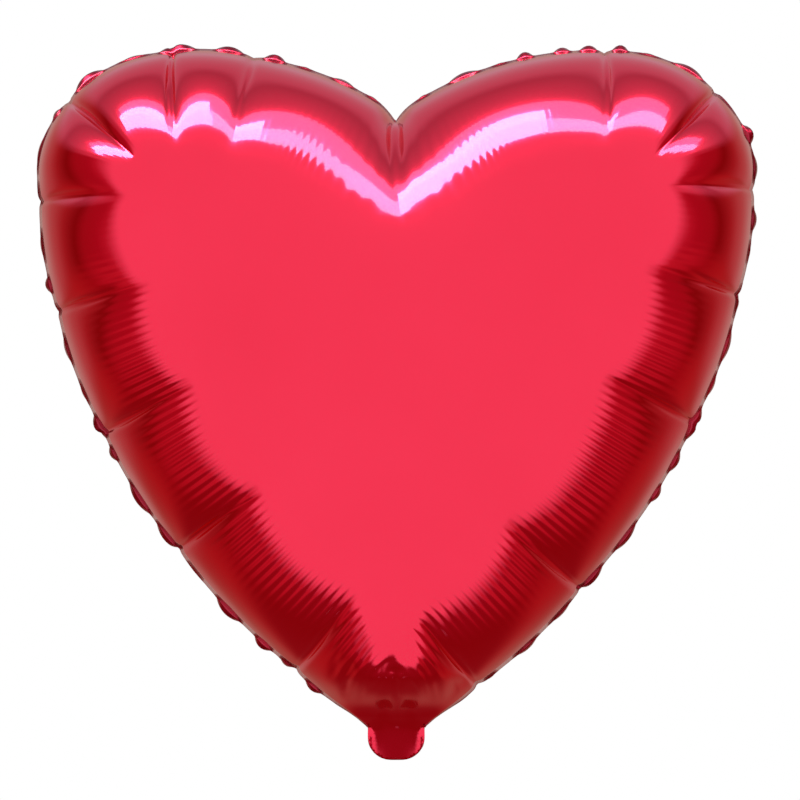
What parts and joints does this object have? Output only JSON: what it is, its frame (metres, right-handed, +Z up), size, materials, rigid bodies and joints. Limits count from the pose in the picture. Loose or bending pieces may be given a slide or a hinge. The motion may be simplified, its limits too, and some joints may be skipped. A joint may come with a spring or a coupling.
{
  "type": "heart foil balloon",
  "caption": "Inflated heart-shaped foil balloon of two welded red metallised films, with a folding filling tail and an inner self-sealing valve tongue.",
  "frame": {"origin": "middle of the root fold between the heart and its filling tail, where the ribbon is tied", "axes": "+Z up through the heart's notch, +X to the heart's right seen from the front, +Y from the front film to the rear film"},
  "size_m": [0.392, 0.166, 0.383],
  "materials": {
    "front_film": "gloss",
    "rear_film": "gloss",
    "weld": "gloss",
    "valve_film": "gloss"
  },
  "bodies": {
    "envelope": {"front_foil": "front_film", "rear_foil": "rear_film", "edge_weld": "weld"},
    "tail": {"tail_front_foil": "front_film", "tail_rear_foil": "rear_film", "tail_side_welds": "weld", "valve_mouth_front": "valve_film", "valve_mouth_rear": "valve_film"},
    "valve_tongue": {"valve_tongue_front": "valve_film", "valve_tongue_rear": "valve_film", "valve_side_welds": "valve_film"}
  },
  "joints": [
    {"name": "tail_fold", "type": "hinge", "parent": "envelope", "child": "tail", "pos_m": [0, 0, 0], "axis": [1, 0, 0], "range_deg": [-90, 90], "stiffness_Nm_per_rad": 0.0005},
    {"name": "valve_sway", "type": "hinge", "parent": "envelope", "child": "valve_tongue", "pos_m": [0, 0, 0.002], "axis": [1, 0, 0], "range_deg": [-20, 20], "stiffness_Nm_per_rad": 0.0005}
  ]
}
